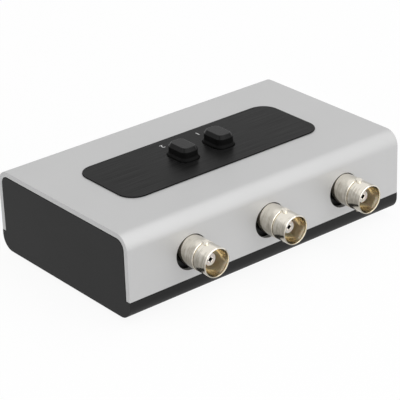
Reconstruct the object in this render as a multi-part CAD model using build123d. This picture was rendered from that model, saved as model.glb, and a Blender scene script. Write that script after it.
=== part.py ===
from build123d import *
import os

# Two-port coaxial antenna switch with three bayonet jacks and two interlocked push-buttons.
# Millimetres. +X runs along the case, the jacks point to -Y and +Z is up.
# Pieces are built about the centre of the case's footprint, with Z = 0 on the table. Each is then
# moved back in Y, so that the origin lies under the middle of the whole outline, jacks included.

os.makedirs("parts", exist_ok=True)

# ---- case ---------------------------------------------------------------------------------------
case_length = 111.0
case_width = 67.0
case_height = 28.0  # underside of the tray to the top of the cover
cover_wall = 1.7
cover_bend = 4.9  # outside radius of the two bends of the cover
lip_height = 6.4  # tray left showing under the cover, front and rear
tray_edge = 4.7  # outside radius along the tray's lower edges
tray_floor = 2.0
end_wall = 2.0
tongue_wall = 1.0  # rib behind the cover's lower edge that keeps it from being pushed in
tongue_height = 1.2
case_gap = 0.2  # cover to tray, all round

# ---- feet ---------------------------------------------------------------------------------------
foot_height = 2.0
foot_radius = 5.0
foot_taper = 0.8
foot_recess = 0.3
foot_end_inset = 17.5  # from the ends of the case to the feet's centres
foot_side_inset = 10.5
foot_gap = 0.2

# ---- cover screws, posts and standoffs ----------------------------------------------------------
post_end_inset = 6.0  # from the ends of the case to the posts' centres
post_side_inset = 9.5
post_radius = 3.5
post_height = 4.0
rib_wall = 1.2
base_screw_radius = 1.45
base_screw_length = 10.0
base_head_radius = 2.6
base_head_height = 1.8
base_head_depth = 0.6  # how far the head lies below the tray's underside
screw_gap = 0.15
thread_gap = 0.05
standoff_flats = 5.0
standoff_bore_depth = 9.0

# ---- circuit board ------------------------------------------------------------------------------
board_thickness = 1.6
board_rear_inset = 8.5  # from the rear of the case
board_gap = 1.0  # board to the cover's standoff posts
board_inset = 0.4  # board's front edge behind the front of the jack blocks
board_screw_inset = 3.2
board_boss_radius = 2.4
board_screw_radius = 1.0
board_screw_length = 5.0
board_head_radius = 1.9
board_head_height = 1.4
lead_hole_gap = 0.15
lead_length = 1.4  # leads standing out under the board

# ---- jacks --------------------------------------------------------------------------------------
jack_end_inset = 24.1  # from the ends of the case to the outer jacks' axes
jack_axis_height = 15.95  # above the tray's underside
jack_axis_over_board = 8.15
jack_protrusion = 12.0  # mouth in front of the cover
jack_setback = 1.4  # housing behind the cover's inner face
jack_block = 14.5  # width, and height of the housing's top above its foot
jack_block_depth = 14.0
jack_block_edge = 1.2
barrel_radius = 4.825
barrel_length = 5.3
shell_radius = 4.9
groove_width = 0.5
groove_depth = 0.4
barrel_chamfer = 0.25
mouth_radius = 4.2
mouth_chamfer = 0.2
mouth_depth = 8.6
socket_bore = 3.2  # radius of the bore behind the mouth that holds the insulator
socket_gap = 0.02
lug_radius = 1.0
lug_reach = 5.5  # from the jack's axis to the lug's tip
lug_setback = 5.2  # from the mouth to the lug's axis
insulator_radius = 2.0
insulator_setback = 3.2
insulator_length = 14.5
contact_radius = 1.05
contact_bore = 0.68
contact_bore_depth = 5.0
contact_slit = 0.25  # the socket is slit crosswise so that it grips the plug's pin
contact_slit_depth = 3.5
contact_length = 17.5
tail_radius = 0.5
tail_slot = 4.0
ground_tail_inset = 1.2  # from the rear end of the jack's tube
leg_radius = 0.8
leg_inset = 1.8
leg_setback = 5.0  # from the front of the housing
port_gap = 0.95  # cover to jack shell, on the radius
port_top_gap = 0.1  # the ports are cut low, so only this much is left above the shell

# ---- label plate and button caps ----------------------------------------------------------------
plate_length = 79.2
plate_width = 28.8
plate_corner = 6.0
plate_thickness = 0.4
button_row = -0.4  # the buttons and their plate are this far from the middle of the case
button_pitch = 14.6
button_travel = 2.5
button_height = 4.25  # cap above the label plate
cap_x = 6.7
cap_y = 9.7
cap_corner = 2.4
cap_bevel = 0.85  # width of the bevel round the cap's top, seen from above
cap_bevel_height = 1.2
cap_wall = 1.0
cap_roof = 1.2
skirt_step = 0.45
skirt_show = 1.1  # skirt above the label plate
skirt_slope = 0.8  # height of the slope from the skirt up to the cap's sides
flange_lip = 0.6
flange_thickness = 1.0
cap_gap = 0.15
cap_stop_gap = 0.05
cap_boss_radius = 2.3

# ---- switch under the buttons -------------------------------------------------------------------
housing_width = 8.5
housing_height = 9.0
housing_wall = 1.4
housing_floor = 1.2
housing_roof = 1.0
housing_edge = 0.4
slider_x = 5.0
slider_y = 4.0
slider_gap = 0.1
slider_end_gap = 0.3  # left under the slider at the end of the button's travel
stem_radius = 1.6
stem_gap = 0.15
stem_press_gap = 0.02
stem_end_gap = 0.3
nub_reach = 0.5
nub_width = 2.0
nub_height = 1.0
nub_shoulder = 0.3
nub_lift = 0.3  # nub above the latch bar while the button is up
bar_thickness = 0.8
bar_gap = 0.15
bar_travel = 0.8
bar_web = 2.2  # metal outside the latch bar's windows
latch_gap = 0.1
frame_wall = 0.8
frame_skirt = 3.0
frame_gap = 0.15
frame_overhang = 4.0  # frame beyond the outer faces of the housings
tab_width = 1.6
peg_width = 0.5
peg_length = 1.4
return_wire = 0.2  # wire radius
return_turns = 4
latch_wire = 0.15
latch_turns = 4
latch_coil = 0.65
wire_sides = 4  # the springs' wire is drawn square, since it is so thin
coil_gap = 0.1
seat_gap = 0.04

# ---- contacts and terminals ---------------------------------------------------------------------
terminal_pitch = 1.9
terminal_width = 0.7
terminal_sheet = 0.3
terminal_reach = 5.2  # height of the terminals above the housing's floor
terminal_slot_gap = 0.05
clip_sheet = 0.2
clip_height = 1.6
clip_bow = 0.12
clip_length = 4.4
clip_point = 0.4

# ---- levels and places that follow from the sizes above -----------------------------------------
base_z = foot_height
floor_z = base_z + tray_floor
lip_z = base_z + lip_height
roof_z = base_z + case_height
ceiling_z = roof_z - cover_wall
plate_z = roof_z + plate_thickness
axis_z = base_z + jack_axis_height
board_z = axis_z - jack_axis_over_board
board_under = board_z - board_thickness
post_z = floor_z + post_height
front_y = -case_width / 2
foot_x = case_length / 2 - foot_end_inset
foot_y = case_width / 2 - foot_side_inset
post_x = case_length / 2 - post_end_inset
post_y = case_width / 2 - post_side_inset
lip_wall = cover_wall + case_gap + tongue_wall
end_wall_width = case_width - 2 * (cover_wall + case_gap)
block_front = front_y + cover_wall + jack_setback
board_front = block_front + board_inset
board_rear = case_width / 2 - board_rear_inset
board_side = post_x - post_radius - board_gap
board_screw_x = board_side - board_screw_inset
board_screw_front = board_front + board_screw_inset
board_screw_rear = board_rear - board_screw_inset
housing_z = board_z + housing_height
bar_z = housing_z + bar_gap
bar_top = bar_z + bar_thickness
frame_z = bar_top + bar_gap
frame_top = frame_z + frame_wall
cap_bottom = ceiling_z - cap_stop_gap - flange_thickness
cap_top = plate_z + button_height
stem_top = cap_top - cap_roof - stem_end_gap
slider_top = housing_z - housing_roof - slider_gap
slider_bottom = board_z + housing_floor + slider_end_gap + button_travel
slider_middle = (slider_top + slider_bottom) / 2
frame_x = button_pitch / 2 + housing_width / 2 + frame_overhang
frame_y = housing_width / 2 + frame_gap
skirt_x = cap_x + 2 * skirt_step
skirt_y = cap_y + 2 * skirt_step
skirt_corner = cap_corner + skirt_step

posts = [(sx * post_x, sy * post_y) for sx in (-1, 1) for sy in (-1, 1)]
board_screws = [(sx * board_screw_x, y) for sx in (-1, 1) for y in (board_screw_front, board_screw_rear)]
feet = {"left": -foot_x, "right": foot_x}
jacks = {"left": jack_end_inset - case_length / 2, "centre": 0.0, "right": case_length / 2 - jack_end_inset}
buttons = {"button_1": button_pitch / 2, "button_2": -button_pitch / 2}
jack_legs = [(sx * (jack_block / 2 - leg_inset), block_front + leg_setback) for sx in (-1, 1)]
insulator_face = jack_protrusion - insulator_setback  # along a jack's axis, outwards from the cover
tube_end = insulator_face - insulator_length
tail_y = front_y - insulator_face + contact_length - contact_radius
ground_tail_y = front_y - tube_end - ground_tail_inset
terminals = [(i * terminal_pitch, sy) for i in (-1, 0, 1) for sy in (-1, 1)]
terminal_y = housing_width / 2 - housing_wall - terminal_sheet / 2

outline_shift = Location((0, jack_protrusion / 2, 0))
in_row = Location((0, button_row, 0))


def save(name, shape):
    """Write one piece, moved so that the origin lies under the middle of the whole outline."""
    export_step(outline_shift * shape, f"parts/{name}.step")


def upright(x, y, bottom, top, sketch):
    """A sketch drawn about (x, y), raised from one level to another."""
    return extrude(Pos(x, y, bottom) * sketch, top - bottom)


def group(pieces):
    """Separate solids kept together, such as a set of like screws."""
    return Compound([solid for piece in pieces for solid in piece.solids()])


def drilled(shape, places, radius, bottom, top):
    """A shape with a round hole at each place."""
    for x, y in places:
        shape -= upright(x, y, bottom, top, Circle(radius))
    return shape


def section_band(width, bottom, top, corner, corners_at):
    """A slice of the case seen along X, rounded at its lower (0) or upper (-1) corners."""
    band = Pos(0, (bottom + top) / 2) * Rectangle(width, top - bottom)
    return fillet(band.vertices().group_by(Axis.Y)[corners_at], corner)


# ---- case pieces --------------------------------------------------------------------------------


def make_cover():
    """Bent aluminium sheet: top, connector face and rear face in one, open at both ends."""
    outside = section_band(case_width, lip_z, roof_z, cover_bend, -1)
    inside = section_band(case_width - 2 * cover_wall, lip_z, ceiling_z, cover_bend - cover_wall, -1)
    cover = extrude(Plane.YZ * (outside - inside), case_length / 2, both=True)
    port_radius = shell_radius + port_gap
    port_z = axis_z - (port_gap - port_top_gap)
    for x in jacks.values():
        port_plane = Plane(origin=(x, front_y, port_z), x_dir=(1, 0, 0), z_dir=(0, 1, 0))
        cover -= extrude(port_plane * Circle(port_radius), cover_wall)
    for x in buttons.values():
        cover -= upright(x, button_row, ceiling_z, roof_z, button_opening(2 * cap_gap))
    return cover


def button_opening(gap):
    """Outline of an opening that a button's skirt slides through."""
    return RectangleRounded(skirt_x + 2 * gap, skirt_y + 2 * gap, skirt_corner + gap)


def make_tray():
    """Black moulding: floor, full end walls, low lips with a tongue, screw posts and board bosses."""
    lips = section_band(case_width, base_z, lip_z, tray_edge, 0)
    end_top = ceiling_z - case_gap
    end_corner = cover_bend - cover_wall - case_gap
    wall = section_band(end_wall_width, lip_z - case_gap, end_top, end_corner, -1)
    tray = extrude(Plane.YZ * (lips + wall), case_length / 2, both=True)
    inner_length = case_length - 2 * end_wall
    inner_corner = tray_edge - tray_floor
    pocket = section_band(case_width - 2 * lip_wall, floor_z, roof_z, inner_corner, 0)
    tray -= extrude(Plane.YZ * pocket, inner_length / 2, both=True)
    above_tongue = Rectangle(inner_length, case_width)
    tray -= upright(0, 0, lip_z + tongue_height, roof_z, above_tongue)
    for x, y in posts:
        tray += upright(x, y, floor_z, post_z, Circle(post_radius))
        rib_length = case_length / 2 - end_wall - abs(x)
        rib_middle = x + (rib_length / 2 if x > 0 else -rib_length / 2)
        tray += upright(rib_middle, y, floor_z, post_z, Rectangle(rib_length, rib_wall))
    for x, y in board_screws:
        tray += upright(x, y, floor_z, board_under, Circle(board_boss_radius))
    head_seat = base_z + base_head_depth + base_head_height
    tray = drilled(tray, posts, base_screw_radius + screw_gap, base_z, post_z)
    tray = drilled(tray, posts, base_head_radius + screw_gap, base_z, head_seat)
    pilot_bottom = board_z - board_screw_length - screw_gap
    tray = drilled(tray, board_screws, board_screw_radius + thread_gap, pilot_bottom, board_under)
    foot_places = [(x, sy * foot_y) for x in feet.values() for sy in (-1, 1)]
    return drilled(tray, foot_places, foot_radius + foot_gap, base_z, base_z + foot_recess)


def make_foot(x, y):
    """Round rubber foot, narrower at the table, stuck in a shallow recess."""
    foot = upright(x, y, 0, base_z + foot_recess, Circle(foot_radius))
    return chamfer(foot.edges().group_by(Axis.Z)[0], foot_taper)


def make_label_plate():
    """Thin brushed plate on the cover, with an opening for each button."""
    outline = RectangleRounded(plate_length, plate_width, plate_corner)
    for x in buttons.values():
        outline -= Pos(x, 0) * button_opening(cap_gap)
    return upright(0, button_row, roof_z, plate_z, outline)


def pan_head_screw(shank_radius, length, head_radius, head_height):
    """Cross-recessed screw standing on its seat plane, head up, shank down."""
    head = extrude(Circle(head_radius), head_height)
    head = chamfer(head.edges().group_by(Axis.Z)[-1], head_height / 3)
    shank = extrude(Circle(shank_radius), -length)
    slot_width = shank_radius / 2
    recess = Rectangle(head_radius, slot_width) + Rectangle(slot_width, head_radius)
    recess_depth = head_height / 2
    return head + shank - extrude(Pos(0, 0, head_height - recess_depth) * recess, recess_depth)


def make_base_screws():
    """Four screws driven up through the tray's posts into the standoffs."""
    screw = pan_head_screw(base_screw_radius, base_screw_length, base_head_radius, base_head_height)
    seat = base_z + base_head_depth + base_head_height
    upside_down = Rot(180, 0, 0) * screw
    return group(Pos(x, y, seat) * upside_down for x, y in posts)


def make_board_screws():
    """Four screws that hold the circuit board on the tray's bosses."""
    screw = pan_head_screw(board_screw_radius, board_screw_length, board_head_radius, board_head_height)
    return group(Pos(x, y, board_z) * screw for x, y in board_screws)


def make_standoffs():
    """Four hexagonal standoffs pressed into the cover, each tapped from below."""
    bore_radius = base_screw_radius + thread_gap
    hexagon = RegularPolygon(standoff_flats / 2, 6, major_radius=False)
    standoff = upright(0, 0, post_z, ceiling_z, hexagon)
    standoff -= upright(0, 0, post_z, post_z + standoff_bore_depth, Circle(bore_radius))
    return group(Pos(x, y) * standoff for x, y in posts)


def make_board():
    """Circuit board with holes for its screws and for every lead that goes through it."""
    depth = board_rear - board_front
    middle = (board_rear + board_front) / 2
    board = upright(0, middle, board_under, board_z, Rectangle(2 * board_side, depth))
    board = drilled(board, board_screws, board_screw_radius + screw_gap, board_under, board_z)
    leg_places = [(x + jack_x, y) for jack_x in jacks.values() for x, y in jack_legs]
    board = drilled(board, leg_places, leg_radius + lead_hole_gap, board_under, board_z)
    tail_places = [(jack_x, y) for jack_x in jacks.values() for y in (tail_y, ground_tail_y)]
    board = drilled(board, tail_places, tail_radius + lead_hole_gap, board_under, board_z)
    pin_slot = Rectangle(terminal_width + 2 * lead_hole_gap, terminal_sheet + 2 * lead_hole_gap)
    for x in buttons.values():
        for dx, side in terminals:
            y = button_row + side * terminal_y
            board -= upright(x + dx, y, board_under, board_z, pin_slot)
    tab_slot = Rectangle(frame_wall + 2 * lead_hole_gap, tab_width + 2 * lead_hole_gap)
    for side in (-1, 1):
        x = side * (frame_x + frame_wall / 2)
        board -= upright(x, button_row, board_under, board_z, tab_slot)
    return board


# ---- jacks, drawn with their axis along +Z and Z = 0 on the face of the cover -------------------


def on_cover(x):
    """Plane on the connector face, at a jack's axis and looking outwards."""
    return Plane(origin=(x, front_y, axis_z), x_dir=(1, 0, 0), z_dir=(0, -1, 0))


def turned(points):
    """A turned piece from half its outline, as (radius, height) pairs."""
    return revolve(Plane.XZ * make_face(Polyline(points, close=True)), Axis.Z)


def make_jack_body(x):
    """Nickel-plated barrel with two bayonet lugs, and the tube behind it with its ground tail."""
    mouth = jack_protrusion
    groove = mouth - barrel_length
    shell_end = groove - groove_width
    groove_radius = barrel_radius - groove_depth
    body = turned([
        (0, tube_end),
        (shell_radius, tube_end),
        (shell_radius, shell_end - barrel_chamfer),
        (shell_radius - barrel_chamfer, shell_end),
        (groove_radius, shell_end),
        (groove_radius, groove),
        (barrel_radius, groove),
        (barrel_radius, mouth - barrel_chamfer),
        (barrel_radius - barrel_chamfer, mouth),
        (0, mouth),
    ])
    lug_plane = Plane.XZ.offset(-lug_reach)
    body += extrude(lug_plane * (Pos(0, mouth - lug_setback) * Circle(lug_radius)), 2 * lug_reach)
    cavity_floor = mouth - mouth_depth
    body -= turned([
        (0, tube_end),
        (socket_bore, tube_end),
        (socket_bore, cavity_floor),
        (mouth_radius, cavity_floor),
        (mouth_radius, mouth - mouth_chamfer),
        (mouth_radius + mouth_chamfer, mouth),
        (0, mouth),
    ])
    tail_top = axis_z - (socket_bore + shell_radius) / 2
    tail = upright(x, ground_tail_y, board_under - lead_length, tail_top, Circle(tail_radius))
    return on_cover(x) * body + tail


def make_jack_housing(x):
    """Black moulded block that holds a jack's tube on the circuit board, with two pegs."""
    front = -cover_wall - jack_setback
    rear = front - jack_block_depth
    foot = jack_axis_over_board
    outline = RectangleRounded(jack_block, jack_block, jack_block_edge)
    housing = extrude(Pos(0, jack_block / 2 - foot, front) * outline, -jack_block_depth)
    housing -= extrude(Pos(0, 0, tube_end) * Circle(shell_radius + socket_gap), front - tube_end)
    housing -= extrude(Pos(0, 0, rear) * Circle(socket_bore), tube_end - rear)
    tail_passage = Pos(0, -foot / 2, rear) * Rectangle(tail_slot, foot)
    housing -= extrude(tail_passage, tube_end - rear)
    housing = on_cover(x) * housing
    housing -= upright(x, ground_tail_y, board_z, axis_z, Circle(tail_radius + socket_gap))
    for leg_x, leg_y in jack_legs:
        housing += upright(x + leg_x, leg_y, board_under - lead_length, board_z, Circle(leg_radius))
    return housing


def make_insulator(x):
    """White insulator: a post in the mouth and a thicker root in the bore behind it."""
    step = jack_protrusion - mouth_depth
    bore = contact_radius + socket_gap
    root = socket_bore - socket_gap
    insulator = turned([
        (bore, tube_end),
        (root, tube_end),
        (root, step),
        (insulator_radius, step),
        (insulator_radius, insulator_face),
        (bore, insulator_face),
    ])
    return on_cover(x) * insulator


def make_contact(x):
    """Socket contact, flush with the insulator, with a tail that turns down to the board."""
    face = Pos(0, 0, insulator_face)
    socket = extrude(face * Circle(contact_radius), -contact_length)
    socket -= extrude(face * Circle(contact_bore), -contact_bore_depth)
    slit = Rectangle(contact_slit, 2 * contact_radius) + Rectangle(2 * contact_radius, contact_slit)
    socket -= extrude(face * slit, -contact_slit_depth)
    tail = upright(x, tail_y, board_under - lead_length, axis_z, Circle(tail_radius))
    return on_cover(x) * socket + tail


# ---- buttons and switch -------------------------------------------------------------------------


def bevelled_top(block, inwards, downwards):
    """A block with a bevel round its top face, of one width across the face and one down the sides."""
    top = block.faces().sort_by(Axis.Z)[-1]
    return chamfer(top.edges(), inwards, downwards, reference=top)


def make_cap(x):
    """Key cap: bevelled top, skirt that slopes out, and a flange that stops it under the cover."""
    key = RectangleRounded(cap_x, cap_y, cap_corner)
    skirt = RectangleRounded(skirt_x, skirt_y, skirt_corner)
    flange = RectangleRounded(skirt_x + 2 * flange_lip, skirt_y + 2 * flange_lip, skirt_corner + flange_lip)
    upper = bevelled_top(upright(x, 0, cap_bottom, cap_top, key), cap_bevel, cap_bevel_height)
    lower = bevelled_top(upright(x, 0, cap_bottom, plate_z + skirt_show, skirt), skirt_step, skirt_slope)
    cap = upper + lower + upright(x, 0, cap_bottom, cap_bottom + flange_thickness, flange)
    hollow = RectangleRounded(cap_x - 2 * cap_wall, cap_y - 2 * cap_wall, cap_corner - cap_wall)
    cap -= upright(x, 0, cap_bottom, cap_top - cap_roof, hollow)
    cap += upright(x, 0, cap_bottom, cap_top - cap_roof, Circle(cap_boss_radius))
    return cap - upright(x, 0, cap_bottom, cap_top - cap_roof, Circle(stem_radius + stem_press_gap))


def make_plunger(x):
    """Moulded plunger: slider in the housing, round stem up to the cap, and the latching nub."""
    slider = upright(x, 0, slider_bottom, slider_top, Rectangle(slider_x, slider_y))
    stem = upright(x, 0, slider_top, stem_top, Circle(stem_radius))
    root = stem_radius / 2
    tip = stem_radius + nub_reach
    nub_bottom = bar_top + nub_lift
    nub_top = nub_bottom + nub_height
    nub_outline = Polyline([
        (root, nub_bottom),
        (stem_radius, nub_bottom),
        (tip, nub_top - nub_shoulder),
        (tip, nub_top),
        (root, nub_top),
    ], close=True)
    nub = extrude(Plane.XZ * make_face(nub_outline), nub_width / 2, both=True)
    return slider + stem + Pos(x, 0) * nub


def stem_window(gap):
    """Opening that clears a plunger's stem and its nub."""
    nub_tip = stem_radius + nub_reach + gap
    return Circle(stem_radius + gap) + Pos(nub_tip / 2, 0) * Rectangle(nub_tip, nub_width + 2 * gap)


def make_housing(x):
    """Moulded switch housing on the board, open inside for the slider and its contacts."""
    outline = RectangleRounded(housing_width, housing_width, housing_edge)
    housing = upright(x, 0, board_z, housing_z, outline)
    inside = Rectangle(slider_x + 2 * slider_gap, housing_width - 2 * housing_wall)
    housing -= upright(x, 0, board_z + housing_floor, housing_z - housing_roof, inside)
    housing -= upright(x, 0, housing_z - housing_roof, housing_z, stem_window(stem_gap))
    slot_gap = 2 * terminal_slot_gap
    slot = Rectangle(terminal_width + slot_gap, terminal_sheet + slot_gap)
    for dx, side in terminals:
        housing -= upright(x + dx, side * terminal_y, board_z, board_z + housing_floor, slot)
    return housing


def make_terminals(x):
    """Six flat terminals that stand in the housing and go through the board."""
    blade = Rectangle(terminal_width, terminal_sheet)
    bottom = board_under - lead_length
    top = board_z + housing_floor + terminal_reach
    inward = terminal_slot_gap
    blades = [upright(x + dx, side * (terminal_y - inward), bottom, top, blade) for dx, side in terminals]
    return group(blades)


def make_clips(x):
    """Two sprung contact strips, one on each side of the slider, each with two contact points."""
    inner = slider_y / 2
    outer = inner + clip_sheet
    end = clip_length / 2
    middle = terminal_pitch / 2
    outline = [(-end, inner), (end, inner), (end, outer)]
    for point in (middle, -middle):
        outline.append((point + clip_point, outer))
        outline.append((point, outer + clip_bow))
        outline.append((point - clip_point, outer))
    outline.append((-end, outer))
    strip = make_face(Polyline(outline, close=True))
    half_height = clip_height / 2
    clip = upright(x, 0, slider_middle - half_height, slider_middle + half_height, strip)
    return group([clip, mirror(clip, Plane.XZ)])


def make_frame():
    """Steel channel over both housings, with end legs whose tabs go through the board."""
    half_length = frame_x + frame_wall
    half_width = frame_y + frame_wall
    frame = upright(0, 0, frame_z - frame_skirt, frame_top, Rectangle(2 * half_length, 2 * half_width))
    frame -= upright(0, 0, frame_z - frame_skirt, frame_z, Rectangle(2 * frame_x, 2 * frame_y))
    leg = Rectangle(frame_wall, 2 * frame_y)
    tab = Rectangle(frame_wall, tab_width)
    for side in (-1, 1):
        leg_x = side * (frame_x + frame_wall / 2)
        frame += upright(leg_x, 0, board_z, frame_z, leg)
        frame += upright(leg_x, 0, board_under - lead_length, board_z, tab)
    for x in buttons.values():
        frame -= upright(x, 0, frame_z, frame_top, stem_window(stem_gap + latch_gap))
    spring_window = Rectangle(latch_spring_length(), 2 * (latch_coil + latch_wire + coil_gap))
    frame -= upright(frame_x - latch_spring_length() / 2, 0, frame_z, frame_top, spring_window)
    return frame


def latch_spring_length():
    """Room for the latch spring, between the latch bar's shoulder and the frame's right leg."""
    return frame_overhang - bar_travel


def make_latch_bar():
    """Interlock plate: a window for each stem, whose right edge is the lip that holds the nub."""
    left = -frame_x + latch_gap
    shoulder = frame_x - latch_spring_length()
    bar_width = 2 * (frame_y - latch_gap)
    bar = upright((left + shoulder) / 2, 0, bar_z, bar_top, Rectangle(shoulder - left, bar_width))
    lip = stem_radius + nub_reach + latch_gap
    clear = stem_radius + bar_travel + stem_gap
    window = Pos((lip - clear) / 2, 0) * Rectangle(lip + clear, bar_width - 2 * bar_web)
    for x in buttons.values():
        bar -= upright(x, 0, bar_z, bar_top, window)
    return bar + upright(shoulder + peg_length / 2, 0, bar_z, bar_top, Rectangle(peg_length, peg_width))


def coil_spring(coil_radius, wire_radius, length, turns):
    """Open compression spring standing on Z = 0."""
    rise = length - 2 * wire_radius
    path = Helix(pitch=rise / turns, height=rise, radius=coil_radius)
    wire = Plane(origin=path @ 0, z_dir=path % 0) * RegularPolygon(wire_radius, wire_sides)
    return Pos(0, 0, wire_radius) * sweep(wire, path=path, is_frenet=True)


def make_return_spring(x):
    """Spring round a stem, between the frame and the underside of the cap."""
    coil_radius = stem_radius + return_wire + coil_gap + nub_reach
    length = cap_bottom - frame_top - 2 * seat_gap
    return Pos(x, 0, frame_top + seat_gap) * coil_spring(coil_radius, return_wire, length, return_turns)


def make_latch_spring():
    """Spring over the latch bar's peg, between its shoulder and the frame's right leg."""
    length = latch_spring_length() - 2 * seat_gap
    spring = coil_spring(latch_coil, latch_wire, length, latch_turns)
    start = frame_x - latch_spring_length() + seat_gap
    return Pos(start, 0, bar_z + bar_thickness / 2) * (Rot(0, 90, 0) * spring)


# ---- every piece --------------------------------------------------------------------------------

save("top_cover", make_cover())
save("base_tray", make_tray())
save("label_plate", make_label_plate())
save("cover_standoffs", make_standoffs())
save("base_screws", make_base_screws())
save("circuit_board", make_board())
save("board_screws", make_board_screws())
for side_name, foot_side_x in feet.items():
    save(f"front_{side_name}_foot", make_foot(foot_side_x, -foot_y))
    save(f"rear_{side_name}_foot", make_foot(foot_side_x, foot_y))
for jack_name, jack_x in jacks.items():
    save(f"{jack_name}_jack_body", make_jack_body(jack_x))
    save(f"{jack_name}_jack_housing", make_jack_housing(jack_x))
    save(f"{jack_name}_jack_insulator", make_insulator(jack_x))
    save(f"{jack_name}_jack_contact", make_contact(jack_x))
for button_name, button_x in buttons.items():
    save(f"{button_name}_cap", in_row * make_cap(button_x))
    save(f"{button_name}_plunger", in_row * make_plunger(button_x))
    save(f"{button_name}_return_spring", in_row * make_return_spring(button_x))
    save(f"{button_name}_contact_clips", in_row * make_clips(button_x))
    save(f"{button_name}_housing", in_row * make_housing(button_x))
    save(f"{button_name}_terminals", in_row * make_terminals(button_x))
save("switch_frame", in_row * make_frame())
save("latch_bar", in_row * make_latch_bar())
save("latch_spring", in_row * make_latch_spring())
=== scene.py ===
import math

import bpy
from mathutils import Matrix, Vector


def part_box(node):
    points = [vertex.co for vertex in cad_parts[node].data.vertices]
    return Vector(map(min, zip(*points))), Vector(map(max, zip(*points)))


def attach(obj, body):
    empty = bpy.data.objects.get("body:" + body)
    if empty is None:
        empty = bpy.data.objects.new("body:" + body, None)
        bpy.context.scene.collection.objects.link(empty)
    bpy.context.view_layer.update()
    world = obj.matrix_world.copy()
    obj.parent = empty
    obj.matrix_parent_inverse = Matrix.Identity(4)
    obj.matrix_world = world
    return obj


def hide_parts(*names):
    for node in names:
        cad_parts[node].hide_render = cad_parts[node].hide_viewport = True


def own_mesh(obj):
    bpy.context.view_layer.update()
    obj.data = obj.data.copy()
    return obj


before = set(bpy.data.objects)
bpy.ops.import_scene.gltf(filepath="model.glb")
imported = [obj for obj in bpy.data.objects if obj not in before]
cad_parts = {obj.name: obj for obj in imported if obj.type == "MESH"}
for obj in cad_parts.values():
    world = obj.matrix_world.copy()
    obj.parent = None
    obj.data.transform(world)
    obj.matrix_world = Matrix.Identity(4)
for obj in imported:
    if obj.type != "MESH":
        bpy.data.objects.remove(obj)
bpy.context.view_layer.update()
mm = 0.001

# ---- Base tray ------------------------------------------------------------------------------
# One black injection moulding: floor, two full end walls, low lips front and rear, and the
# posts and bosses for the screws. Its outer faces have a fine spark-eroded texture.

tray_edge = 0.18 * mm
hair = 0.01 * mm


def grey(level, warmth=0.0):
    """A grey, warmer or cooler by a small share."""
    return (level * (1 + warmth), level, level * (1 - warmth), 1)


class Wire:
    """An output socket of a node. Sums on it add Math nodes."""

    def __init__(self, nodes, socket):
        self.nodes = nodes
        self.socket = socket

    def __add__(self, other):
        return self.nodes.maths("ADD", self, other)

    def __radd__(self, other):
        return self.nodes.maths("ADD", other, self)

    def __sub__(self, other):
        return self.nodes.maths("SUBTRACT", self, other)

    def __rsub__(self, other):
        return self.nodes.maths("SUBTRACT", other, self)

    def __mul__(self, other):
        return self.nodes.maths("MULTIPLY", self, other)

    def __rmul__(self, other):
        return self.nodes.maths("MULTIPLY", other, self)

    def __gt__(self, other):
        return self.nodes.maths("GREATER_THAN", self, other)

    def __lt__(self, other):
        return self.nodes.maths("LESS_THAN", self, other)

    def __abs__(self):
        return self.nodes.maths("ABSOLUTE", self)

    def at_least(self, other):
        return self.nodes.maths("MAXIMUM", self, other)


class Nodes:
    """The nodes of a material or of the world, and the one way to add to them."""

    def __init__(self, owner):
        owner.use_nodes = True
        self.tree = owner.node_tree

    def node(self, kind, settings=None, values=None, output=0):
        """Adds a node: its settings and ramp stops, then the values or wires of its sockets."""
        made = self.tree.nodes.new(kind)
        settings = dict(settings or {})
        for index, (position, colour) in enumerate(settings.pop("stops", ())):
            ramp = made.color_ramp.elements
            stop = ramp[index] if index < 2 else ramp.new(position)
            stop.position = position
            stop.color = colour
        for setting, value in settings.items():
            setattr(made, setting, value)
        for socket, value in (values or {}).items():
            self.join(made.inputs[socket], value)
        return Wire(self, made.outputs[output])

    def maths(self, operation, *values):
        """Adds a Math node for one operation on values or wires."""
        return self.node("ShaderNodeMath", {"operation": operation}, dict(enumerate(values)))

    def join(self, socket, value):
        """Feeds a socket from a wire, or sets it."""
        if isinstance(value, Wire):
            self.tree.links.new(value.socket, socket)
        else:
            socket.default_value = value


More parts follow.
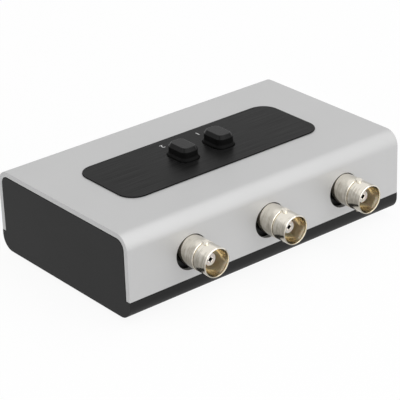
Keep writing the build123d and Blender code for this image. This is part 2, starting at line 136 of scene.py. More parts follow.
class Finish(Nodes):
    """A surface finish: one Principled shader, and the nodes that vary it, in millimetres."""

    def __init__(self, name, **uniform):
        self.material = bpy.data.materials.new(name)
        super().__init__(self.material)
        self.shader = self.tree.nodes["Principled BSDF"]
        for socket, value in uniform.items():
            self.shader.inputs[socket.replace("_", " ")].default_value = value
        self.metres = self.node("ShaderNodeTexCoord", output="Object")
        self.place = self.stretched((1, 1, 1))
        self.x, self.y, self.z = (
            self.node("ShaderNodeSeparateXYZ", {}, {0: self.place}, output=i) for i in range(3))

    def feed(self, **sockets):
        """Joins values or wires to the shader's own sockets."""
        for socket, value in sockets.items():
            self.join(self.shader.inputs[socket.replace("_", " ")], value)

    def stretched(self, scale):
        """Places in millimetres, stretched by a scale along each axis."""
        scale = tuple(part / mm for part in scale)
        return self.node("ShaderNodeMapping", {}, {"Vector": self.metres, "Scale": scale})

    def noise(self, scale, detail=3, place=None):
        """Noise from 0 to 1, with a scale in grains for each millimetre."""
        values = {"Vector": place or self.place, "Scale": scale, "Detail": detail}
        return self.node("ShaderNodeTexNoise", {}, values)

    def spread(self, factor, low, high):
        """A factor from 0 to 1 spread between two values."""
        return factor * (high - low) + low

    def mix(self, factor, colour, other):
        """The first colour where the factor is 0, the other where it is 1."""
        values = {"Factor": factor, 6: colour, 7: other}
        return self.node("ShaderNodeMix", {"data_type": "RGBA"}, values, output=2)

    def relief(self, *heights):
        """Bumps from pairs of a height and its depth in metres, each on top of the last."""
        under = None
        for height, depth in heights:
            values = {"Height": height, "Distance": depth}
            if under:
                values["Normal"] = under
            under = self.node("ShaderNodeBump", {}, values)
        self.feed(Normal=under)


def apply_modifier(piece, kind, **settings):
    """Adds a modifier to a piece, sets it and applies it."""
    bpy.ops.object.select_all(action="DESELECT")
    bpy.context.view_layer.objects.active = piece
    piece.select_set(True)
    made = piece.modifiers.new(kind.lower(), kind)
    for setting, value in settings.items():
        setattr(made, setting, value)
    bpy.ops.object.modifier_apply(modifier=made.name)


def break_edges(piece, width, steps=2, sharper_than=35):
    """Rounds a piece's sharp edges by a small width, and shades it smooth between them."""
    apply_modifier(piece, "WELD", merge_threshold=hair / 2)
    apply_modifier(
        piece, "BEVEL", width=width, segments=steps, limit_method="ANGLE",
        angle_limit=math.radians(sharper_than), miter_outer="MITER_ARC")
    bpy.ops.object.shade_smooth_by_angle(angle=math.radians(sharper_than))
    apply_modifier(piece, "WEIGHTED_NORMAL", weight=80, keep_sharp=True)


def copied_from_cad(node, name):
    """A copy of a CAD node, its loose triangles merged into whole faces."""
    piece = bpy.data.objects.new(name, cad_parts[node].data.copy())
    bpy.context.scene.collection.objects.link(piece)
    bpy.ops.object.select_all(action="DESELECT")
    bpy.context.view_layer.objects.active = piece
    piece.select_set(True)
    bpy.ops.object.mode_set(mode="EDIT")
    bpy.ops.mesh.select_all(action="SELECT")
    bpy.ops.mesh.remove_doubles(threshold=hair / 2)
    bpy.ops.mesh.dissolve_limited(angle_limit=math.radians(1))
    bpy.ops.object.mode_set(mode="OBJECT")
    return piece


def dress(piece, finish, body, slot, *nodes):
    """Gives a finished piece its material and body, and hides the CAD nodes it stands for; the slot is not
    used.
    """
    piece.data.materials.clear()
    piece.data.materials.append(finish.material)
    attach(piece, body)
    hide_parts(*nodes)


black_moulding = Finish("spark_textured_black_moulding", Specular_IOR_Level=0.2)
pits = black_moulding.noise(3.5, 2)
flow = black_moulding.noise(0.03, 2)
black_moulding.feed(
    Base_Color=black_moulding.mix(flow, grey(0.008), grey(0.014)),
    Roughness=black_moulding.spread(pits, 0.48, 0.62))
black_moulding.relief((pits, 0.012 * mm), (black_moulding.noise(11, 2), 0.004 * mm))
tray = copied_from_cad("base_tray", "moulded_tray")
break_edges(tray, tray_edge)
dress(tray, black_moulding, "case", "black_moulding", "base_tray")

# ---- Feet -----------------------------------------------------------------------------------
# Four round rubber feet, stuck in shallow recesses under the tray. Each is narrower at the
# table, with a rounded edge and a shallow cup in its underside.

foot_taper = 0.8 * mm
foot_cup_rim = 1.1 * mm
foot_cup_depth = 0.25 * mm
foot_edge = foot_cup_depth / 3


def middle_of(node):
    """The middle of a CAD node's box."""
    low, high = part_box(node)
    return (low + high) / 2


def drum(name, middle, radius, length, turn=(0, 0, 0), sides=64):
    """A round bar about its middle, along Z unless it is turned."""
    bpy.ops.object.select_all(action="DESELECT")
    bpy.ops.mesh.primitive_cylinder_add(
        vertices=sides, radius=radius, depth=length, location=middle, rotation=turn)
    piece = bpy.context.active_object
    piece.name = name
    bpy.ops.object.transform_apply(location=True, rotation=True, scale=True)
    return piece


def leave_edit():
    """Ends edit mode, so that the mesh holds what was done in it."""
    bpy.ops.object.mode_set(mode="OBJECT")


def pick(piece, kind, test):
    """Selects, in edit mode, the faces or edges whose middle and direction pass a test."""
    bpy.ops.object.select_all(action="DESELECT")
    bpy.context.view_layer.objects.active = piece
    piece.select_set(True)
    bpy.ops.object.mode_set(mode="EDIT")
    bpy.ops.mesh.select_mode(type=kind)
    bpy.ops.mesh.select_all(action="DESELECT")
    leave_edit()
    points = piece.data.vertices
    if kind == "FACE":
        for face in piece.data.polygons:
            face.select = bool(test(face.center, face.normal))
    else:
        for edge in piece.data.edges:
            start, end = (points[i].co for i in edge.vertices)
            edge.select = bool(test((start + end) / 2, (end - start).normalized()))
    bpy.ops.object.mode_set(mode="EDIT")


def copied(piece, name, shift):
    """A copy of a piece with a mesh of its own, moved by a shift."""
    twin = piece.copy()
    twin.data = piece.data.copy()
    twin.name = name
    bpy.context.scene.collection.objects.link(twin)
    twin.data.transform(Matrix.Translation(shift))
    return twin


foot_nodes = [f"{end}_{side}_foot" for end in ("front", "rear") for side in ("left", "right")]
foot_low, foot_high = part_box(foot_nodes[0])
first_foot = drum(
    f"rubber_{foot_nodes[0]}", middle_of(foot_nodes[0]), (foot_high.x - foot_low.x) / 2,
    foot_high.z - foot_low.z)
pick(first_foot, "EDGE", lambda middle, along: middle.z < foot_low.z + hair)
bpy.ops.mesh.bevel(offset=foot_taper, segments=4)
leave_edit()
pick(first_foot, "FACE", lambda middle, out: out.z < -0.99)
bpy.ops.mesh.inset(thickness=foot_cup_rim)
bpy.ops.mesh.inset(thickness=foot_cup_depth, depth=-foot_cup_depth)
leave_edit()
break_edges(first_foot, foot_edge)

rubber = Finish("black_foot_rubber")
dull = rubber.noise(1.2, 4)
rubber.feed(
    Base_Color=rubber.mix(dull, grey(0.014), grey(0.026)),
    Roughness=rubber.spread(dull, 0.72, 0.88))
rubber.relief((rubber.noise(6), 0.015 * mm))
feet = [first_foot] + [
    copied(first_foot, f"rubber_{node}", middle_of(node) - middle_of(foot_nodes[0]))
    for node in foot_nodes[1:]]
for node, foot in zip(foot_nodes, feet):
    dress(foot, rubber, "case", "foot_rubber", node)

# ---- Circuit board --------------------------------------------------------------------------
# Glass laminate under a green solder mask, with copper tracks that show through the mask.
# Four screws hold it on the tray's bosses, and it carries the jacks and the switch.

track_pitch = 2.54  # mm
track_width = 0.5


def clothe(finish, *nodes):
    """Gives its material to CAD nodes that are shown as they are."""
    for node in nodes:
        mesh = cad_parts[node].data
        mesh.materials.clear()
        mesh.materials.append(finish.material)


laminate = Finish("green_solder_mask", Coat_Weight=0.3, Coat_Roughness=0.2)
wander = laminate.noise(0.08, 1) * 3
row = laminate.maths("PINGPONG", laminate.x + wander, track_pitch / 2)
line = laminate.maths("PINGPONG", laminate.y + wander, track_pitch / 2)
patches = laminate.noise(0.12, 0) > 0.5
tracks = (row < track_width / 2) * patches + (line < track_width / 2) * (1 - patches)
weave = laminate.noise(2.0, 2)
solder_mask = laminate.mix(weave, (0.010, 0.060, 0.022, 1), (0.014, 0.085, 0.032, 1))
laminate.feed(
    Base_Color=laminate.mix(tracks, solder_mask, (0.03, 0.16, 0.06, 1)),
    Roughness=laminate.spread(weave, 0.28, 0.40))
laminate.relief((tracks, 0.03 * mm), (weave, 0.004 * mm))
clothe(laminate, "circuit_board")

# ---- Switch ---------------------------------------------------------------------------------
# Two moulded housings on the board under one steel frame. Inside each, a white plunger carries
# two sprung contact strips past six plated terminals. A steel bar above them holds one button
# down and lets the other go, and coil springs push the buttons and the bar back.

housing_edge = 0.12 * mm
sheet_edge = 0.06 * mm
wire_edge = 0.06 * mm
button_names = ("button_1", "button_2")

housing_black = Finish("black_housing_moulding")
speckle = housing_black.noise(8)
housing_black.feed(
    Base_Color=housing_black.mix(speckle, grey(0.002), grey(0.004)),
    Roughness=housing_black.spread(speckle, 0.42, 0.55))
housing_black.relief((speckle, 0.006 * mm))
for name in button_names:
    housing = copied_from_cad(f"{name}_housing", f"{name}_switch_block")
    break_edges(housing, housing_edge)
    dress(housing, housing_black, "case", "housing_plastic", f"{name}_housing")

slippery = Finish("white_acetal", Subsurface_Weight=0.1, Subsurface_Scale=0.4 * mm)
clouds = slippery.noise(0.8)
slippery.feed(
    Base_Color=slippery.mix(clouds, grey(0.70, 0.02), grey(0.78, 0.015)),
    Roughness=slippery.spread(clouds, 0.35, 0.48))
slippery.relief((slippery.noise(12), 0.003 * mm))
clothe(slippery, *(f"{name}_plunger" for name in button_names))

plated_steel = Finish("zinc_plated_steel", Metallic=1.0)
crystals = plated_steel.noise(2.2, 4)
drawn = plated_steel.noise(1.0, 3, plated_steel.stretched((0.6, 9, 9)))
plated_steel.feed(
    Base_Color=plated_steel.mix(crystals, grey(0.50, -0.02), grey(0.62, -0.02)),
    Roughness=plated_steel.spread(crystals, 0.26, 0.42))
plated_steel.relief((drawn, 0.004 * mm))
for node in ("switch_frame", "latch_bar"):
    pressing = copied_from_cad(node, f"pressed_{node}")
    break_edges(pressing, sheet_edge)
    dress(pressing, plated_steel, "latch" if node == "latch_bar" else "case", "steel", node)
clothe(plated_steel, "board_screws", "cover_standoffs")


def coil_spring(node):
    """A coil spring copied from its CAD node, its edges rounded, given its material and a mesh of its own.
    """
    coil = copied_from_cad(node, f"coiled_{node}")
    break_edges(coil, wire_edge, steps=1)
    dress(coil, plated_steel, "case", "steel", node)
    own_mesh(coil)


for name in button_names:
    coil_spring(f"{name}_return_spring")
coil_spring("latch_spring")

silver_plate = Finish("silver_plated_brass", Metallic=1.0)
smudges = silver_plate.noise(1.5, 4)
silver_plate.feed(
    Base_Color=silver_plate.mix(smudges, grey(0.78, 0.05), grey(0.88, 0.03)),
    Roughness=silver_plate.spread(smudges, 0.18, 0.32))
silver_plate.relief((silver_plate.noise(10), 0.002 * mm))
for part in ("contact_clips", "terminals"):
    clothe(silver_plate, *(f"{name}_{part}" for name in button_names))

# ---- Jack housings --------------------------------------------------------------------------
# Three black moulded blocks, one behind each port. Each holds a jack's tube, stands on the
# board on two pegs, and is open below at the rear, where the socket's tail goes down.

block_edge = 1.2 * mm
tube_bore = 4.92 * mm
rear_bore = 3.2 * mm
tail_slot = 4.0 * mm
peg_radius = 0.8 * mm
peg_inset = 1.8 * mm
peg_setback = 5.0 * mm
moulding_edge = 0.15 * mm
along_y = (math.pi / 2, 0, 0)
jack_names = ("left", "centre", "right")
board_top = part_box("circuit_board")[1].z
jack_axis = middle_of("centre_jack_insulator")


def block(name, low, high):
    """A box between two corners."""
    low, high = Vector(low), Vector(high)
    bpy.ops.object.select_all(action="DESELECT")
    bpy.ops.mesh.primitive_cube_add(size=1, location=(low + high) / 2, scale=high - low)
    piece = bpy.context.active_object
    piece.name = name
    bpy.ops.object.transform_apply(location=True, rotation=True, scale=True)
    return piece


def combine(piece, operation, tools):
    """Cuts tools from a piece, or joins them to it, and removes the tools."""
    for tool in tools:
        apply_modifier(piece, "BOOLEAN", operation=operation, solver="EXACT", object=tool)
        bpy.data.objects.remove(tool)


def jack_housing(node, tube_end):
    """The block, its two bores, the passage for the tails, and the pegs."""
    low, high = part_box(node)
    housing = block("moulded_centre_jack_housing", (low.x, low.y, board_top), high)
    pick(housing, "EDGE", lambda middle, along: abs(along.y) > 0.9)
    bpy.ops.mesh.bevel(offset=block_edge, segments=6)
    leave_edit()
    front_length = tube_end - low.y
    front_middle = (jack_axis.x, low.y + front_length / 2, jack_axis.z)
    combine(housing, "DIFFERENCE", [
        drum("tube_bore", front_middle, tube_bore, front_length + 2 * hair, along_y),
        drum("rear_bore", (jack_axis.x, high.y, jack_axis.z), rear_bore, 2 * (high.y - tube_end), along_y),
        block("passage", (jack_axis.x - tail_slot / 2, tube_end, board_top - hair),
              (jack_axis.x + tail_slot / 2, high.y + hair, jack_axis.z)),
    ])
    peg_x = (high.x - low.x) / 2 - peg_inset
    peg_length = board_top - low.z + block_edge
    combine(housing, "UNION", [
        drum("peg", (side * peg_x, low.y + peg_setback, low.z + peg_length / 2), peg_radius, peg_length)
        for side in (-1, 1)])
    break_edges(housing, moulding_edge)
    return housing


tube_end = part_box("centre_jack_insulator")[1].y
pitch = {name: middle_of(f"{name}_jack_insulator") - jack_axis for name in jack_names}
housing = jack_housing("centre_jack_housing", tube_end)
for name in jack_names:
    moved = copied(housing, f"moulded_{name}_jack_housing", pitch[name])
    dress(moved, housing_black, "case", "housing_plastic", f"{name}_jack_housing")
bpy.data.objects.remove(housing)

# ---- Jack barrels ---------------------------------------------------------------------------
# Three bayonet barrels turned in one piece with their tubes, nickel plated. A groove parts the
# slimmer barrel from the tube, and two lugs, above and below, hold the plug's collar.

jack_steps = 96
lug_steps = 48
tail_steps = 24
shell_radius = 4.9 * mm
barrel_radius = 4.825 * mm
groove_radius = 4.425 * mm
groove_width = 0.5 * mm
barrel_length = 5.3 * mm
barrel_chamfer = 0.18 * mm
mouth_radius = 4.2 * mm
mouth_flare = 0.3 * mm
flare_depth = 0.8 * mm
mouth_depth = 8.6 * mm
lug_radius = 1.0 * mm
lug_setback = 5.2 * mm
lug_reach = 5.5 * mm
tail_radius = 0.5 * mm
ground_tail_inset = 1.2 * mm
plated_edge = 0.08 * mm


def turned(name, axis, profile):
    """Turns a closed outline of (distance along Y, radius) about an axis along Y."""
    start, first_radius = profile[0]
    bpy.ops.object.select_all(action="DESELECT")
    bpy.ops.mesh.primitive_circle_add(
        vertices=jack_steps, radius=first_radius, location=(axis.x, start, axis.z), rotation=along_y)
    piece = bpy.context.active_object
    piece.name = name
    bpy.ops.object.transform_apply(location=True, rotation=True, scale=True)
    bpy.ops.object.mode_set(mode="EDIT")
    bpy.ops.mesh.select_all(action="SELECT")
    for (before, last_radius), (after, next_radius) in zip(profile, profile[1:] + profile[:1]):
        bpy.ops.mesh.extrude_region_move(TRANSFORM_OT_translate={"value": (0, after - before, 0)})
        share = next_radius / last_radius
        bpy.ops.transform.resize(value=(share, 1, share), center_override=(axis.x, after, axis.z))
    bpy.ops.mesh.select_all(action="SELECT")
    bpy.ops.mesh.remove_doubles(threshold=hair / 10)
    bpy.ops.mesh.normals_make_consistent(inside=False)
    leave_edit()
    return piece


def jack_barrel(mouth, lowest):
    """One barrel with its tube, lugs and ground tail."""
    groove = mouth + barrel_length
    shell_end = groove + groove_width
    floor = mouth + mouth_depth
    barrel = turned("plated_centre_jack", jack_axis, [
        (tube_end, rear_bore),
        (floor, rear_bore),
        (floor, mouth_radius),
        (mouth + flare_depth, mouth_radius),
        (mouth, mouth_radius + mouth_flare),
        (mouth, barrel_radius - barrel_chamfer),
        (mouth + barrel_chamfer, barrel_radius),
        (groove, barrel_radius),
        (groove, groove_radius),
        (shell_end, groove_radius),
        (shell_end, shell_radius - barrel_chamfer),
        (shell_end + barrel_chamfer, shell_radius),
        (tube_end, shell_radius),
    ])
    lug_length = lug_reach - mouth_radius - 4 * hair
    lugs = [
        drum("lug", (jack_axis.x, mouth + lug_setback, jack_axis.z + side * (lug_reach - lug_length / 2)),
             lug_radius, lug_length, sides=lug_steps)
        for side in (-1, 1)]
    tail_top = jack_axis.z - (rear_bore + shell_radius) / 2
    tail_middle = (jack_axis.x, tube_end - ground_tail_inset, (lowest + tail_top) / 2)
    tail = drum("tail", tail_middle, tail_radius, tail_top - lowest, sides=tail_steps)
    combine(barrel, "UNION", lugs + [tail])
    break_edges(barrel, plated_edge, sharper_than=30)
    return barrel


def add_finish(piece, finish, test):
    """Gives a second material to the faces that pass a test of their middle and direction."""
    piece.data.materials.append(finish.material)
    for face in piece.data.polygons:
        if test(face.center, face.normal):
            face.material_index = len(piece.data.materials) - 1


nickel = Finish("bright_nickel_plate", Metallic=1.0)
turning = nickel.noise(1.0, 2, nickel.stretched((0.15, 10, 0.15)))
rings = nickel.noise(1.0, 3, nickel.stretched((0.1, 2.5, 0.1)))
# Painted highlight: the plate's colour is lighter towards the top of each barrel and darker towards its
# underside, as the light falls on it. Random patches and turning rings are mixed in.
height = (nickel.z - jack_axis.z / mm) * (0.5 / (shell_radius / mm)) + 0.5
patch_share = 0.8
ring_share = 0.9
painted_highlight_and_patches = nickel.node(
    "ShaderNodeValToRGB", {"stops": ((0.42, grey(0)), (0.90, grey(1)))},
    {0: height + (nickel.noise(0.5, 5) - 0.5) * patch_share + (rings - 0.5) * ring_share})
nickel.feed(
    Base_Color=nickel.mix(painted_highlight_and_patches, (0.42, 0.39, 0.33, 1), (0.78, 0.74, 0.66, 1)),
    Roughness=nickel.spread(turning, 0.08, 0.20))
nickel.relief((nickel.noise(1.2), 0.006 * mm), (turning, 0.004 * mm))
lining = Finish("stained_nickel_lining", Metallic=1.0)
stain = lining.noise(0.7, 4)
lining.feed(
    Base_Color=lining.mix(stain, (0.66, 0.58, 0.42, 1), (0.96, 0.89, 0.74, 1)),
    Roughness=lining.spread(stain, 0.16, 0.30))
lining.relief((stain, 0.01 * mm))
jack_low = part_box("centre_jack_body")[0]
barrel = jack_barrel(jack_low.y, jack_low.z)


def in_mouth(middle, out):
    """True for the faces that line the mouth of the centre jack."""
    from_axis = math.hypot(middle.x - jack_axis.x, middle.z - jack_axis.z)
    return from_axis < mouth_radius + mouth_flare and middle.y > jack_low.y + hair


for name in jack_names:
    moved = copied(barrel, f"plated_{name}_jack", pitch[name])
    dress(moved, nickel, "case", "nickel_plate", f"{name}_jack_body")
    add_finish(moved, lining, lambda middle, out: in_mouth(middle - pitch[name], out))
bpy.data.objects.remove(barrel)

# ---- Insulators -----------------------------------------------------------------------------
# A turned white fluoropolymer piece in each jack: a slim post in the mouth, a thicker root
# pressed in the tube, and a bore for the socket. Its colour is painted mid grey, as the shade in the
# mouth.

post_radius = 2.0 * mm
root_radius = 3.18 * mm
insulator_bore = 1.07 * mm
insulator_edge = 0.1 * mm

face, rear = (corner.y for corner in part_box("centre_jack_insulator"))
step = jack_low.y + mouth_depth
insulator = turned("turned_centre_jack_insulator", jack_axis, [
    (rear, insulator_bore),
    (face, insulator_bore),
    (face, post_radius),
    (step, post_radius),
    (step, root_radius),
    (rear, root_radius),
])
break_edges(insulator, insulator_edge)
fluoropolymer = Finish(
    "fluoropolymer_painted_grey_as_shade", Subsurface_Weight=0.15, Subsurface_Scale=0.5 * mm)
milky = fluoropolymer.noise(1.5)
cutting = fluoropolymer.noise(1.0, 2, fluoropolymer.stretched((2, 14, 2)))
# Painted shade: the white insulator is given a mid grey colour, for the shade inside the jack's mouth.
fluoropolymer.feed(
    Base_Color=fluoropolymer.mix(milky, grey(0.48, 0.06), grey(0.56, 0.05)),
    Roughness=fluoropolymer.spread(milky, 0.45, 0.6))
fluoropolymer.relief((cutting, 0.006 * mm))
for name in jack_names:
    moved = copied(insulator, f"turned_{name}_jack_insulator", pitch[name])
    dress(moved, fluoropolymer, "case", "white_insulator", f"{name}_jack_insulator")
bpy.data.objects.remove(insulator)

# ---- Socket contacts ------------------------------------------------------------------------
# A plated brass socket on each jack's axis, bored for the plug's pin and slit crosswise so
# that it grips. Its bore and slits are painted near black, as shade. Its tail turns down and is soldered
# in the board.

socket_steps = 40
socket_radius = 1.05 * mm
pin_bore = 0.68 * mm
pin_depth = 5.0 * mm
slit_width = 0.25 * mm
slit_depth = 3.5 * mm
socket_edge = 0.06 * mm

socket_low, socket_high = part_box("centre_jack_contact")
socket_face = socket_low.y
socket_length = socket_high.y - socket_face
socket_middle = (jack_axis.x, socket_face + socket_length / 2, jack_axis.z)
socket = drum("centre_jack_socket", socket_middle, socket_radius, socket_length, along_y, socket_steps)
tail_place = Vector((jack_axis.x, socket_high.y - socket_radius, (socket_low.z + jack_axis.z) / 2))
combine(socket, "UNION", [
    drum("tail", tail_place, tail_radius, jack_axis.z - socket_low.z, sides=tail_steps)])
combine(socket, "DIFFERENCE", [
    drum("bore", (jack_axis.x, socket_face, jack_axis.z), pin_bore, 2 * pin_depth, along_y, socket_steps),
    block("slit", (jack_axis.x - slit_width / 2, socket_face - hair, jack_axis.z - 2 * socket_radius),
          (jack_axis.x + slit_width / 2, socket_face + slit_depth, jack_axis.z + 2 * socket_radius)),
    block("slit", (jack_axis.x - 2 * socket_radius, socket_face - hair, jack_axis.z - slit_width / 2),
          (jack_axis.x + 2 * socket_radius, socket_face + slit_depth, jack_axis.z + slit_width / 2)),
])
break_edges(socket, socket_edge, steps=1, sharper_than=40)
# Painted shade: a near-black colour for the faces inside the socket's bore and slits.
painted_shade_bore = Finish("bore_painted_shade", Specular_IOR_Level=0.1)
bore_shade_grain = painted_shade_bore.noise(3)
painted_shade_bore.feed(
    Base_Color=painted_shade_bore.mix(bore_shade_grain, grey(0.002, 0.2), grey(0.008, 0.2)),
    Roughness=painted_shade_bore.spread(bore_shade_grain, 0.7, 0.9))


def in_socket(middle, out):
    """True for the faces of the centre jack's bore and slits."""
    from_axis = math.hypot(middle.x - jack_axis.x, middle.z - jack_axis.z)
    return middle.y > socket_face + socket_edge and from_axis < socket_radius - 2 * hair


for name in jack_names:
    moved = copied(socket, f"slit_{name}_jack_socket", pitch[name])
    dress(moved, silver_plate, "case", "contact_brass", f"{name}_jack_contact")
    # The faces inside the bore and slits take the painted shade.
    add_finish(moved, painted_shade_bore, lambda middle, out: in_socket(middle - pitch[name], out))
bpy.data.objects.remove(socket)

# ---- Top cover ------------------------------------------------------------------------------
# One piece of 1.7 mm aluminium sheet, bent down along both long edges and open at its ends.
# It is satin anodised silver, a little darker on its cut ends. Three ports are punched through
# the connector face and two rounded openings through the top.

cover_wall = 1.7 * mm
cover_bend = 4.9 * mm
cover_edge = 0.12 * mm
bend_steps = 16
port_radius = 5.85 * mm
port_drop = 0.85 * mm  # the ports are punched this far below the jacks' axes
opening_size = Vector((8.2, 11.2)) * mm
opening_corner = 3.15 * mm
cover_low, cover_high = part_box("top_cover")


def rounded_block(name, middle, size, corner, bottom, top, steps=12):
    """A block with its four upright edges rounded."""
    half = Vector((size[0] / 2, size[1] / 2))
    low = (middle[0] - half.x, middle[1] - half.y, bottom)
    high = (middle[0] + half.x, middle[1] + half.y, top)
    piece = block(name, low, high)
    pick(piece, "EDGE", lambda edge, along: abs(along.z) > 0.9)
    bpy.ops.mesh.bevel(offset=corner, segments=steps)
    leave_edit()
    return piece


def bent_cover():
    """The sheet drawn as a box, opened below and at its ends, bent, and given its wall."""
    cover = block("bent_cover", cover_low, cover_high)
    pick(cover, "FACE", lambda middle, out: out.z < -0.5 or abs(out.x) > 0.5)
    bpy.ops.mesh.delete(type="FACE")
    leave_edit()
    pick(cover, "EDGE", lambda middle, along: abs(along.x) > 0.5 and middle.z > cover_high.z - hair)
    bpy.ops.mesh.bevel(offset=cover_bend, segments=bend_steps)
    leave_edit()
    apply_modifier(cover, "SOLIDIFY", thickness=cover_wall, offset=-1, use_even_offset=True)
    punches = []
    for name in jack_names:
        port_middle = (jack_axis.x + pitch[name].x, cover_low.y, jack_axis.z - port_drop)
        punches.append(drum("port_punch", port_middle, port_radius, 4 * cover_wall, along_y))
    for name in button_names:
        punches.append(rounded_block(
            "opening_punch", middle_of(f"{name}_cap"), opening_size, opening_corner,
            cover_high.z - 2 * cover_wall, cover_high.z + cover_wall))
    combine(cover, "DIFFERENCE", punches)
    break_edges(cover, cover_edge)
    return cover


anodised = Finish("satin_silver_anodised", Metallic=0.42)
rolled = anodised.noise(1.0, 4, anodised.stretched((0.35, 14, 14)))
cloudy = anodised.noise(0.04, 2)
silver = anodised.mix(cloudy, grey(0.505), grey(0.535))
cut_end = abs(anodised.x) > (cover_high.x - 2 * cover_edge) / mm
anodised.feed(
    Base_Color=anodised.mix(cut_end, silver, grey(0.5)),
    Roughness=anodised.spread(rolled, 0.44, 0.54))
anodised.relief((rolled, 0.0015 * mm), (anodised.noise(9), 0.002 * mm))
dress(bent_cover(), anodised, "case", "cover_aluminium", "top_cover")

# ---- Cover screws ---------------------------------------------------------------------------
# Four black steel pan-head screws with a cross recess, driven up through the tray's posts into
# the standoffs that are pressed into the cover.

screw_edge = 0.12 * mm

black_oxide = Finish("black_oxide_steel", Metallic=0.8)
patchy = black_oxide.noise(1.8, 4)
black_oxide.feed(
    Base_Color=black_oxide.mix(patchy, grey(0.030), grey(0.060)),
    Roughness=black_oxide.spread(patchy, 0.30, 0.46))
black_oxide.relief((black_oxide.noise(6), 0.005 * mm))
screws = copied_from_cad("base_screws", "cover_screws")
break_edges(screws, screw_edge)
dress(screws, black_oxide, "case", "black_steel", "base_screws")

# ---- Label plate ----------------------------------------------------------------------------
# A thin aluminium plate, anodised black and brushed lengthwise. Its edge faces are painted
# darker, as the shade line along its edge. It is stuck on the cover and has an opening round each button.

plate_corner = 6.0 * mm
plate_edge = 0.15 * mm
plate_opening = Vector((7.9, 10.9)) * mm
plate_opening_corner = 3.0 * mm
plate_low, plate_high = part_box("label_plate")
plate_middle = (plate_low + plate_high) / 2
plate_size = plate_high - plate_low

plate = rounded_block(
    "brushed_label_plate", plate_middle, plate_size, plate_corner, plate_low.z, plate_high.z,
    steps=20)
combine(plate, "DIFFERENCE", [
    rounded_block("opening_punch", middle_of(f"{name}_cap"), plate_opening, plate_opening_corner,
                  plate_low.z - cover_wall, plate_high.z + cover_wall)
    for name in button_names])
break_edges(plate, plate_edge)


brushed = Finish("black_brushed_anodised", Specular_IOR_Level=0.06)
strokes = brushed.node(
    "ShaderNodeValToRGB", {"stops": ((0.35, grey(0)), (0.65, grey(1)))},
    {0: brushed.noise(1.0, 5, brushed.stretched((0.05, 5, 5)))})
fine_strokes = brushed.noise(1.0, 3, brushed.stretched((0.25, 30, 30)))
brushed.feed(
    Base_Color=brushed.mix(strokes, grey(0.001), grey(0.018)),
    Roughness=brushed.spread(fine_strokes, 0.28, 0.42))
brushed.relief((fine_strokes, 0.003 * mm))
# Painted shade: the plate's edge faces get a darker black than its top, as the shade line along the edge.
painted_shade_edge = Finish("plate_edge_painted_shade", Specular_IOR_Level=0.1)
grain = painted_shade_edge.noise(6)
painted_shade_edge.feed(
    Base_Color=painted_shade_edge.mix(grain, grey(0.001), grey(0.004)),
    Roughness=painted_shade_edge.spread(grain, 0.5, 0.7))
dress(plate, brushed, "case", "label_black", "label_plate")
# The edge faces take the painted shade.
add_finish(plate, painted_shade_edge, lambda middle, out: abs(out.z) < 0.95)

# ---- Numerals -------------------------------------------------------------------------------
# The plain numbers 1 and 2, printed in white on the label plate behind their buttons, to be
# read from the rear of the case.

numeral_height = 2.0 * mm
letter_share = 0.7  # of the type size, the height of a numeral
ink_thickness = 0.02 * mm
numeral_distance = 4.4 * mm  # from the rear of a button's flange to the middle of its numeral
numeral_shift = -0.4 * mm

ink = Finish("white_printing_ink")
worn = ink.noise(5, 4)
ink.feed(Base_Color=ink.mix(worn, grey(0.55), grey(0.80)), Roughness=ink.spread(worn, 0.45, 0.6))
ink.relief((worn, 0.003 * mm))
for name in button_names:
    key_low, key_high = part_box(f"{name}_cap")
    bpy.ops.object.select_all(action="DESELECT")
    bpy.ops.object.text_add()
    numeral = bpy.context.active_object
    numeral.name = f"printed_{name[-1]}"
    numeral.data.body = name[-1]
    numeral.data.size = numeral_height / letter_share
    numeral.data.align_x = "CENTER"
    numeral.data.align_y = "CENTER"
    numeral.data.extrude = ink_thickness / 2
    bpy.ops.object.convert(target="MESH")
    place = Vector(((key_low.x + key_high.x) / 2 + numeral_shift, key_high.y + numeral_distance,
                    plate_high.z + ink_thickness / 2))
    numeral.data.transform(Matrix.Translation(place) @ Matrix.Rotation(math.pi, 4, "Z"))
    dress(numeral, ink, "case", "label_black")

# ---- Button caps ----------------------------------------------------------------------------
# Two black moulded key caps, bevelled round the top, sloping out to a skirt, and matt round the
# sides, which are painted a little darker and duller than the top, as shade. Each is pressed on its
# plunger's stem by its boss, and a flange stops it under the cover.

skirt_size = Vector((7.6, 10.6)) * mm
skirt_corner = 2.85 * mm
skirt_step = 0.45 * mm
skirt_show = 1.1 * mm
skirt_slope = 0.8 * mm
cap_bevel = 0.85 * mm
cap_bevel_height = 1.2 * mm
cap_edge = 0.22 * mm
flange_size = Vector((8.8, 11.8)) * mm
flange_corner = 3.45 * mm
flange_thickness = 1.0 * mm
cap_hollow = Vector((4.7, 7.7)) * mm
cap_hollow_corner = 1.4 * mm
cap_roof = 1.2 * mm
boss_radius = 2.3 * mm
stem_bore = 1.62 * mm


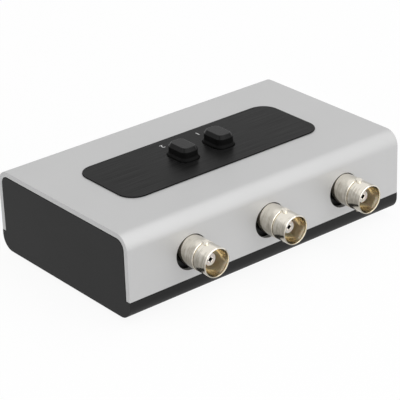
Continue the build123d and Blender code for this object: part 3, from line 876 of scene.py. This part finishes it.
def key_cap(name, low, high):
    """One cap: skirt, slope, sides, bevelled top, flange, and the boss inside."""
    middle = (low + high) / 2
    shoulder = plate_high.z + skirt_show
    side_height = high.z - cap_bevel_height - shoulder
    cap = rounded_block(name, middle, skirt_size, skirt_corner, low.z, shoulder - skirt_slope)
    pick(cap, "FACE", lambda face, out: out.z > 0.9)
    bpy.ops.mesh.inset(thickness=skirt_step, depth=skirt_slope)
    bpy.ops.mesh.extrude_region_move(TRANSFORM_OT_translate={"value": (0, 0, side_height)})
    bpy.ops.mesh.inset(thickness=cap_bevel, depth=cap_bevel_height)
    leave_edit()
    inner_top = high.z - cap_roof
    boss_height = inner_top - low.z
    combine(cap, "UNION", [
        rounded_block("flange", middle, flange_size, flange_corner, low.z, low.z + flange_thickness)])
    combine(cap, "DIFFERENCE", [
        rounded_block("hollow", middle, cap_hollow, cap_hollow_corner, low.z - hair, inner_top,
                      steps=6)])
    combine(cap, "UNION", [
        drum("boss", (middle.x, middle.y, low.z + boss_height / 2 + hair), boss_radius, boss_height)])
    combine(cap, "DIFFERENCE", [
        drum("bore", (middle.x, middle.y, low.z + boss_height / 2 - hair), stem_bore, boss_height)])
    break_edges(cap, cap_edge, steps=3, sharper_than=25)
    return cap


cap_black = Finish("black_satin_cap", Specular_IOR_Level=0.13)
fine = cap_black.noise(14)
handled = cap_black.noise(0.5, 4)
cap_black.feed(
    Base_Color=cap_black.mix(handled, grey(0.002), grey(0.005)),
    Roughness=cap_black.spread(handled, 0.16, 0.24))
cap_black.relief((fine, 0.003 * mm))
# Painted shade: the caps' sides get a darker colour and a weaker sheen than the top, for the shade on
# them. They are rougher as well.
shaded_cap_sides = Finish("black_matt_cap_sides_painted_shade", Specular_IOR_Level=0.08)
dusty = shaded_cap_sides.noise(1.0, 4)
shaded_cap_sides.feed(
    Base_Color=shaded_cap_sides.mix(dusty, grey(0.001), grey(0.004)),
    Roughness=shaded_cap_sides.spread(dusty, 0.5, 0.7))
shaded_cap_sides.relief((shaded_cap_sides.noise(10), 0.004 * mm))
for name in button_names:
    low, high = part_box(f"{name}_cap")
    cap = key_cap(f"{name}_keycap", low, high)
    dress(cap, cap_black, name, "cap_plastic", f"{name}_cap")
    # The sides below the bevel take the painted shade.
    add_finish(cap, shaded_cap_sides, lambda middle, out: middle.z < high.z - cap_bevel_height)

# ---- Floor, light and camera ----------------------------------------------------------------
# A plain pale floor and white surroundings, lit by three soft boxes: a large one from the front,
# and smaller ones from the left and from above. The camera looks down at the connector face.

floor_size = 6.0
bpy.ops.object.select_all(action="DESELECT")
bpy.ops.mesh.primitive_plane_add(size=floor_size)
floor = bpy.context.active_object
floor.name = "studio_floor"

floor_grey = 0.95
floor_white = 0.92  # share of the floor's look that is plain white; the rest takes the shadow
sky_level = 0.56  # light from the surroundings, which are plain white to the eye and in reflections


def seen(nodes):
    """A wire that is 1 where the eye, a reflection or glass looks at a surface, else 0."""
    eye, gloss, glass = (
        nodes.node("ShaderNodeLightPath", output=f"Is {ray} Ray")
        for ray in ("Camera", "Glossy", "Transmission"))
    return eye.at_least(gloss).at_least(glass)


pale = bpy.data.materials.new("pale_floor")
paint = Nodes(pale)
paint.tree.nodes.remove(paint.tree.nodes["Principled BSDF"])
matt = paint.node("ShaderNodeBsdfDiffuse", {}, {"Color": grey(floor_grey)})
white = paint.node("ShaderNodeEmission")
painted = paint.node("ShaderNodeMixShader", {}, {0: seen(paint) * floor_white, 1: matt, 2: white})
paint.join(paint.tree.nodes["Material Output"].inputs["Surface"], painted)
floor.data.materials.append(pale)

studio = bpy.data.worlds.new("studio")
bpy.context.scene.world = studio
air = Nodes(studio)
sky = air.tree.nodes["Background"]
sky.inputs["Color"].default_value = grey(1)
air.join(sky.inputs["Strength"], seen(air) * (1 - sky_level) + sky_level)

lit_place = Vector((0, 0, 0.015))
soft_boxes = {  # place, size and power of each
    "front_soft_box": ((0.0, -1.3, 0.95), 2.3, 19.0),
    "left_soft_box": ((-1.1, 0.2, 0.75), 0.8, 1.4),
    "right_soft_box": ((0.5, -0.05, 1.2), 0.8, 2.2),
}
for name, (place, size, power) in soft_boxes.items():
    lamp = bpy.data.lights.new(name, "AREA")
    lamp.size = size
    lamp.energy = power
    stand = bpy.data.objects.new(name, lamp)
    bpy.context.scene.collection.objects.link(stand)
    stand.location = place
    stand.rotation_euler = (lit_place - Vector(place)).to_track_quat("-Z", "Y").to_euler()

lens = 168.2
camera_place = (-0.3407, -0.4202, 0.2769)
camera_turn = 38.57  # degrees right of straight along +Y
camera_dip = 25.88
camera_roll = -2.0
camera_data = bpy.data.cameras.new("camera")
camera_data.lens = lens
camera_data.clip_start = 0.01
camera = bpy.data.objects.new("camera", camera_data)
bpy.context.scene.collection.objects.link(camera)
aim = (Matrix.Rotation(math.radians(-camera_turn), 4, "Z")
       @ Matrix.Rotation(math.radians(90 - camera_dip), 4, "X")
       @ Matrix.Rotation(math.radians(camera_roll), 4, "Z"))
camera.matrix_world = Matrix.Translation(camera_place) @ aim
bpy.context.scene.camera = camera
bpy.context.scene.view_settings.view_transform = "Standard"
